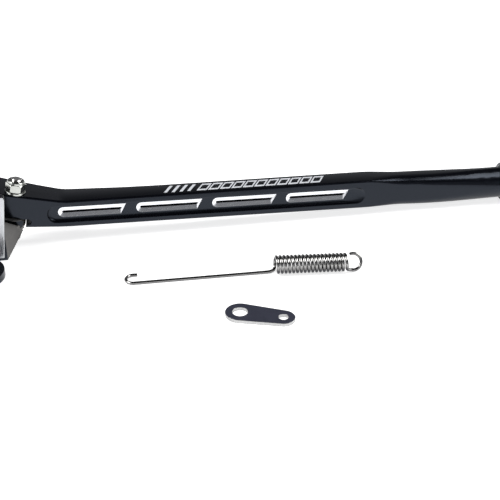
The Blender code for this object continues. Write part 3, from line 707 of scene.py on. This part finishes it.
def make_pivot():
    shank = 4.0 * MM
    low = 2 * FIT + 1.6 * MM
    top = low + NUT_HEIGHT
    profile = [(0.0, top + 1.2 * MM), (shank - 0.8 * MM, top + 1.2 * MM), (shank, top + 0.4 * MM)]
    height = top + 0.2 * MM
    while height > low:
        profile += [(shank, height), (shank - 0.5 * MM, height - 0.6 * MM), (shank, height - 1.2 * MM)]
        height -= 1.25 * MM
    profile += [(shank, -35.2 * MM), (shank - 0.8 * MM, -36.0 * MM), (0.0, -36.0 * MM)]
    piece("pivot_stud_fine", turned("stud", profile, 72), "bracket", ["pivot_stud"], [turned_steel], HEAD)

    outer = 7.5 * MM
    washer = [(shank + FIT, FIT + 1.6 * MM)]
    washer += arc((outer - 0.35 * MM, FIT + 1.25 * MM), 0.35 * MM, 0.5 * math.pi, 0.0, 5)
    washer += arc((outer - 0.35 * MM, FIT + 0.35 * MM), 0.35 * MM, 0.0, -0.5 * math.pi, 5)
    washer.append((shank + FIT, FIT))
    piece("nut_washer_fine", turned("washer", washer, 128), "bracket", ["nut_washer"], [steel], HEAD)

    hex_height = 6.0 * MM
    corner = 13.0 * MM / math.sqrt(3.0)
    envelope = [
        (0.0, low + hex_height),
        (corner - 1.0 * MM, low + hex_height),
        (corner + 0.2 * MM, low + hex_height - 1.0 * MM),
        (corner + 0.2 * MM, low + 0.6 * MM),
        (corner - 0.9 * MM, low),
        (0.0, low),
    ]
    crown_low = low + hex_height - 0.5 * MM
    crown = [(0.0, top), (5.3 * MM, top)]
    crown += arc((5.3 * MM, top - 1.0 * MM), 1.0 * MM, 0.5 * math.pi, 0.0, 8)[1:]
    crown += [(6.3 * MM, crown_low), (0.0, crown_low)]
    seat_low = top - 1.9 * MM
    steps = [
        (turned("envelope", envelope, 144), "INTERSECT", Matrix()),
        (turned("crown", crown, 96), "UNION", Matrix()),
        (cylinder("nut_bore", shank + FIT, low - MM, top + MM), "DIFFERENCE", Matrix()),
        (cylinder("seat", 4.6 * MM, seat_low, top + MM), "DIFFERENCE", Matrix()),
    ]
    body = extruded("nut", hexagon(13.0 * MM), low - MM, low + hex_height + MM)
    mesh = carve("pivot_nut_fine", body, steps)
    mesh = softened("pivot_nut_fine", mesh, 0.12 * MM)
    piece("pivot_nut_fine", mesh, "bracket", ["pivot_nut"], [steel], HEAD)


# ---------------------------------------------------------------- bracket

def horn_outline():
    lean = math.tan(math.radians(7.3))
    top = 53.0 * MM
    right_low = -181.9 * MM
    radius = 3.0 * MM
    right_top = right_low + (top - radius) * lean
    outline = [(-190.0 * MM, 3.0 * MM), (right_low + 3.0 * MM * lean, 3.0 * MM)]
    outline += arc((right_top - radius, top - radius), radius, 0.0, 0.5 * math.pi, 10)
    outline.append((-188.0 * MM, top))
    return outline


def make_bracket():
    front_hole = Vector((-199.3 * MM, -2.5 * MM))
    back_hole = Vector((-226.0 * MM, 43.0 * MM))
    flange = extruded("flange", belt(front_hole, 19.0 * MM, back_hole, 16.99 * MM, 48), 0.0, 6.0 * MM)
    right = (
        Vector((-179.3, 18.9, 0.0)) * MM,
        Vector((-178.6, 18.9, 32.0)) * MM,
        Vector((-166.9, 41.5, 15.0)) * MM,
        Vector((-167.1, 42.0, 13.7)) * MM,
    )
    left = (
        Vector((-199.0, 18.9, 0.0)) * MM,
        Vector((-195.0, 18.9, 33.0)) * MM,
        Vector((-187.0, 50.5, 22.6)) * MM,
        Vector((-188.0, 50.5, 0.0)) * MM,
    )
    inner = (
        Vector((-189.0, 19.0, 0.5)) * MM,
        Vector((-189.0, 19.0, 28.0)) * MM,
        Vector((-189.0, 50.0, 28.0)) * MM,
        Vector((-189.0, 50.0, 0.5)) * MM,
    )
    outer = (
        Vector((-206.0, 19.0, 0.5)) * MM,
        Vector((-203.0, 19.0, 31.0)) * MM,
        Vector((-203.0, 50.0, 31.0)) * MM,
        Vector((-212.0, 50.0, 0.5)) * MM,
    )
    front_v = FRONT_Y + FIT - PIVOT.y
    low_angle = math.asin(front_v / TONGUE_RADIUS)
    high_angle = math.asin(TONGUE_BACK / TONGUE_RADIUS)
    tongue = [(-25.0 * MM, front_v)]
    tongue += arc((0.0, 0.0), TONGUE_RADIUS, low_angle, high_angle, 24)
    tongue.append((-25.0 * MM, TONGUE_BACK))
    boss = [
        (0.0, TONGUE_BOTTOM + 1.7 * MM),
        (9.0 * MM, TONGUE_BOTTOM + 1.7 * MM),
        (9.0 * MM, -29.4 * MM),
        (7.5 * MM, -37.8 * MM),
        (0.0, -37.8 * MM),
    ]
    on_edge = Matrix.Rotation(math.radians(90), 4, "X")
    pin = HEAD @ Matrix.Translation((-14.0 * MM, 0.0, 0.0))
    steps = [
        (loft("web", [right, left]), "UNION", Matrix()),
        (turned("boss", boss, 64), "UNION", HEAD),
        (loft("column", [inner, outer]), "UNION", Matrix()),
        (extruded("tongue", tongue, TONGUE_BOTTOM, TONGUE_TOP), "UNION", HEAD),
        (extruded("horn", horn_outline(), -22.9 * MM, -16.9 * MM), "UNION", on_edge),
        (cylinder("stud_hole", 4.0 * MM + FIT, -36.0 * MM - FIT, 0.0, 64), "DIFFERENCE", HEAD),
        (cylinder("pin_hole", 2.5 * MM + FIT, TONGUE_TOP - 4.0 * MM, 0.0, 48), "DIFFERENCE", pin),
    ]
    for place in (front_hole, back_hole):
        matrix = Matrix.Translation((place.x, place.y, 0.0))
        steps.append((cylinder("mount_hole", 4.3 * MM, -MM, 7.0 * MM, 64), "DIFFERENCE", matrix))
        steps.append((cylinder("spot_face", 9.0 * MM, 5.2 * MM, 10.0 * MM, 96), "DIFFERENCE", matrix))
    mesh = carve("bracket_fine", flange, steps)
    mesh = softened("bracket_fine", mesh, 0.5 * MM, 3)
    mesh.materials.clear()
    for each in (black, facet, satin):
        mesh.materials.append(each)
    for polygon in mesh.polygons:
        centre = polygon.center
        normal = polygon.normal
        polygon.material_index = 0
        if normal.y < -0.6 and abs(centre.y - 16.9 * MM) < 0.6 * MM and centre.z > 6.5 * MM:
            polygon.material_index = 1
        elif normal.x > 0.5 and normal.y < 0.2 and 6.5 * MM < centre.z < 29.0 * MM and 18.5 * MM < centre.y < 42.0 * MM:
            polygon.material_index = 2
    piece("bracket_fine", mesh, "bracket", ["bracket"])


# ---------------------------------------------------------------- loose pieces

def smooth(points, steps):
    """A Catmull-Rom curve through points."""
    found = []
    last = len(points) - 1
    for i in range(last):
        a = points[max(i - 1, 0)]
        b = points[i]
        c = points[i + 1]
        d = points[min(i + 2, last)]
        for k in range(steps):
            t = k / steps
            found.append(
                0.5 * ((2 * b) + (c - a) * t + (2 * a - 5 * b + 4 * c - d) * t * t + (3 * b - a - 3 * c + d) * t**3)
            )
    found.append(points[last])
    return found


def make_spring():
    """One wire: small hook, long arm, coil and open eye."""
    along = COIL_END - COIL_START
    place = Matrix.Translation((COIL_START.x, COIL_START.y, COIL_DIAMETER / 2))
    place = place @ Matrix.Rotation(math.atan2(along.y, along.x), 4, "Z")
    mean = (COIL_DIAMETER - WIRE) / 2

    end = place.inverted() @ Vector((ARM_END.x, ARM_END.y, WIRE / 2))
    start = Vector((-WIRE / 2, 0.0, -mean))
    run = (start - end).normalized()
    side = Vector((0.0, 0.0, 1.0)).cross(run).normalized()
    radius = 5.5 * MM
    centre = end + radius * side
    hook = []
    for i in range(1, 25):
        angle = math.radians(190 * i / 24)
        hook.append(centre - radius * (math.sin(angle) * run + math.cos(angle) * side))
    tip = (hook[-1] - hook[-2]).normalized()
    points = [hook[-1] + 2.0 * MM * tip, hook[-1] + 1.0 * MM * tip] + hook[::-1]
    leave = start - 4.0 * MM * run
    for i in range(24):
        points.append(end + (leave - end) * i / 24)

    count = 828
    skip = 4
    coil = []
    for i in range(count + 1):
        angle = 2 * math.pi * COIL_TURNS * i / count - 0.5 * math.pi
        x = WIRE / 2 + (along.length - WIRE) * i / count
        coil.append(Vector((x, mean * math.cos(angle), mean * math.sin(angle))))
    landing = coil[skip]
    control = Vector((0.4 * MM, -0.1 * MM, -mean))
    for i in range(14):
        t = i / 14
        points.append(leave * (1 - t) ** 2 + control * 2 * t * (1 - t) + landing * t * t)
    points += coil[skip:]

    last = coil[-1]
    rise = Vector((0.0, math.cos(EYE_TILT), math.sin(EYE_TILT)))
    middle = Vector((last.x + 4.9 * MM, 0.0, 0.0))
    eye = [coil[-6], last]
    for i in range(19):
        angle = math.radians(-104 + 218 * i / 18)
        eye.append(middle + EYE_RADIUS * (Vector((math.cos(angle), 0.0, 0.0)) + rise * math.sin(angle)))
    points += smooth(eye, 8)[9:]

    curve = bpy.data.curves.new("spring", "CURVE")
    curve.dimensions = "3D"
    curve.bevel_depth = WIRE / 2
    curve.bevel_resolution = 5
    curve.use_fill_caps = True
    spline = curve.splines.new("POLY")
    spline.points.add(len(points) - 1)
    for point, spot in zip(spline.points, points):
        point.co = (*spot, 1.0)
    mesh = weld(evaluated(linked("spring", curve)))
    mesh = softened("spring_fine", mesh, 0.35 * MM, 2, 60.0)
    made = piece("spring_fine", mesh, None, ["spring_coil", "spring_eye", "spring_arm"], [spring_wire], place)
    made.modifiers.clear()
    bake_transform(made)


def make_link():
    big = Vector((-22.8 * MM, -83.5 * MM))
    small = Vector((4.6 * MM, -95.0 * MM))
    thickness = 2.5 * MM
    plate = extruded("link", belt(big, 10.2 * MM, small, 7.99 * MM, 56), 0.0, thickness)
    steps = []
    for place, radius in ((big, 5.2 * MM), (small, 3.3 * MM)):
        hole = cylinder("link_hole", radius, -MM, thickness + MM, 56)
        steps.append((hole, "DIFFERENCE", Matrix.Translation((place.x, place.y, 0.0))))
    mesh = softened("link_plate_fine", carve("link_plate_fine", plate, steps), 0.22 * MM, 3)
    mesh.materials.clear()
    mesh.materials.append(zinc)
    mesh.materials.append(sheared)
    for polygon in mesh.polygons:
        polygon.material_index = 1 if abs(polygon.normal.z) < 0.75 else 0
    piece("link_plate_fine", mesh, "link", ["link_plate"])


make_leg()
make_foot()
make_spring_post()
make_pivot()
make_bracket()
make_spring()
make_link()

for node, coat in (
    ("pivot_bush", bronze),
    ("thrust_washer", acetal),
    ("nut_insert", nylon),
    ("stop_pin", turned_steel),
):
    kept = frame["nodes"][node]
    kept.data.materials.clear()
    kept.data.materials.append(coat)


# ---------------------------------------------------------------- bench, light and camera

def make_floor():
    shape = bmesh.new()
    bmesh.ops.create_grid(shape, x_segments=8, y_segments=8, size=3.0)
    mesh = bpy.data.meshes.new("floor")
    shape.to_mesh(mesh)
    shape.free()
    floor = linked("floor", mesh)
    paper = finish("paper", (0.86, 0.86, 0.865), (0.88, 0.88, 0.88), 0.8, 0.0, 400.0, bump=0.02)
    shader = paper.node_tree.nodes["Principled BSDF"]
    shader.inputs["Specular IOR Level"].default_value = 0.1
    shader.inputs["Emission Color"].default_value = (1.0, 1.0, 1.0, 1.0)
    shader.inputs["Emission Strength"].default_value = 0.76
    mesh.materials.append(paper)


def softbox(name, place, size, watts, target=(0.0, 0.0, 0.0)):
    lamp = bpy.data.lights.new(name, "AREA")
    lamp.shape = "RECTANGLE"
    lamp.size = size[0]
    lamp.size_y = size[1]
    lamp.energy = watts
    made = linked(name, lamp)
    made.location = place
    made.rotation_mode = "QUATERNION"
    made.rotation_quaternion = (Vector(target) - Vector(place)).to_track_quat("-Z", "Y")
    return made


def make_world():
    """A room that is pale low down and dark overhead, so that level faces stay deep black."""
    world = bpy.data.worlds.new("room")
    bpy.context.scene.world = world
    world.use_nodes = True
    tree = world.node_tree
    place = tree.nodes.new("ShaderNodeTexCoord")
    split = tree.nodes.new("ShaderNodeSeparateXYZ")
    tree.links.new(place.outputs["Generated"], split.inputs["Vector"])
    ramp = tree.nodes.new("ShaderNodeValToRGB")
    tree.links.new(split.outputs["Z"], ramp.inputs["Fac"])
    stops = ((0.0, 0.34), (0.42, 0.3), (0.5, 0.065), (0.58, 0.02), (1.0, 0.03))
    ramp.color_ramp.elements[0].position = stops[0][0]
    ramp.color_ramp.elements[1].position = stops[-1][0]
    for position, _ in stops[1:-1]:
        ramp.color_ramp.elements.new(position)
    for element, (_, level) in zip(ramp.color_ramp.elements, stops):
        element.color = (level * 0.97, level * 0.99, level * 1.03, 1.0)
    tree.links.new(ramp.outputs["Color"], tree.nodes["Background"].inputs["Color"])


def make_camera():
    yaw = math.radians(10.83)
    tilt = math.radians(30.396)
    distance = 682.0 * MM
    lens = bpy.data.cameras.new("camera")
    lens.sensor_width = 36.0
    lens.lens = 64.8
    lens.clip_start = 0.01
    lens.clip_end = 50.0
    camera = linked("camera", lens)
    back = Vector((-math.cos(tilt) * math.sin(yaw), -math.cos(tilt) * math.cos(yaw), math.sin(tilt)))
    camera.location = BENCH.translation + back * distance
    camera.rotation_euler = (math.radians(90.0) - tilt, 0.0, -yaw)
    bpy.context.scene.camera = camera


make_floor()
softbox("left_box", (-1.25, -0.1, 1.15), (1.0, 1.0), 21.0)
softbox("right_box", (1.25, -0.1, 1.15), (1.0, 1.0), 21.0)
make_world()
make_camera()
bpy.context.scene.view_settings.view_transform = "Standard"
